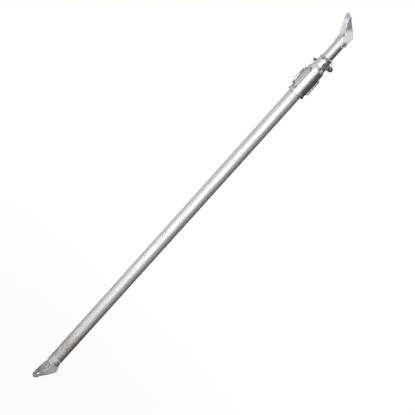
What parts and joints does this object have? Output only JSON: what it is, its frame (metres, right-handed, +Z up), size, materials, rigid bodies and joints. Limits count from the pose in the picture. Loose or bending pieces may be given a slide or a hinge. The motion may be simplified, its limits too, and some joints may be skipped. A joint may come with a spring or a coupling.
{
  "type": "adjustable steel prop",
  "caption": "Long telescopic steel tube prop with a hinged, drilled shoe at each end, a screw sleeve with rod handles and a locking pin through a swivel collar.",
  "frame": {"origin": "middle of the foot shoe's anchor hole, on the sole's face", "axes": "+Z up the tubes from the foot to the head; +Y along the hinge bolts and the locking pin, away from the pin's grip; both shoes' tongues point towards -X"},
  "size_m": [0.1488, 0.168, 2.1544],
  "materials": {
    "dull_zinc": "weathered hot-dip galvanised steel",
    "zinc": "galvanised steel, satin",
    "zinc_bolt": "zinc-plated fasteners, slightly dulled",
    "dark_steel": "dark oiled steel"
  },
  "bodies": {
    "outer_tube": {"outer_tube": "dull_zinc", "foot_bush": "zinc", "guide_bush": "zinc"},
    "foot_shoe": {"foot_shoe": "dull_zinc", "foot_bolt": "zinc_bolt", "foot_nut": "zinc_bolt", "foot_near_washer": "zinc_bolt", "foot_far_washer": "zinc_bolt"},
    "collar": {"swivel_collar": "zinc", "stop_ring": "zinc"},
    "sleeve": {"sleeve_barrel": "dull_zinc", "sleeve_nut": "zinc", "sleeve_end_ring": "zinc", "sleeve_seat": "zinc", "sleeve_shoulder": "dull_zinc", "near_handle": "zinc", "far_handle": "zinc"},
    "inner_tube": {"inner_tube": "zinc", "head_bush": "zinc", "slide_ring": "zinc"},
    "pin": {"locking_pin": "dark_steel", "bail_pivot": "zinc"},
    "bail": {"pin_bail": "zinc"},
    "head_shoe": {"head_shoe": "zinc", "head_bolt": "zinc_bolt", "head_nut": "zinc_bolt", "head_near_washer": "zinc_bolt", "head_far_washer": "zinc_bolt"}
  },
  "joints": [
    {"name": "foot_hinge", "type": "hinge", "parent": "outer_tube", "child": "foot_shoe", "pos_m": [0.01652, 0, 0.10471], "axis": [0, 1, 0], "range_deg": [-36, 94]},
    {"name": "fine_adjust", "type": "slide", "parent": "outer_tube", "child": "collar", "axis": [0, 0, 1], "range_m": [0, 0.08]},
    {"name": "sleeve_spin", "type": "hinge", "parent": "collar", "child": "sleeve", "pos_m": [0.01652, 0, 0.10471], "axis": [0, 0, 1], "range_deg": [0, 4799]},
    {"name": "telescope", "type": "slide", "parent": "collar", "child": "inner_tube", "axis": [0, 0, 1], "range_m": [0, 1.2]},
    {"name": "pin_pull", "type": "slide", "parent": "collar", "child": "pin", "axis": [0, -1, 0], "range_m": [0, 0.17]},
    {"name": "bail_swing", "type": "hinge", "parent": "pin", "child": "bail", "pos_m": [0.01652, -0.083, 1.89971], "axis": [0.9063, 0, 0.4226], "range_deg": [0, 110]},
    {"name": "head_hinge", "type": "hinge", "parent": "inner_tube", "child": "head_shoe", "pos_m": [0.01652, 0, 2.02071], "axis": [0, -1, 0], "range_deg": [-53, 77]}
  ],
  "couplings": [
    {"joint": "fine_adjust", "follows": "sleeve_spin", "m_per_rad": 0.00095493}
  ]
}
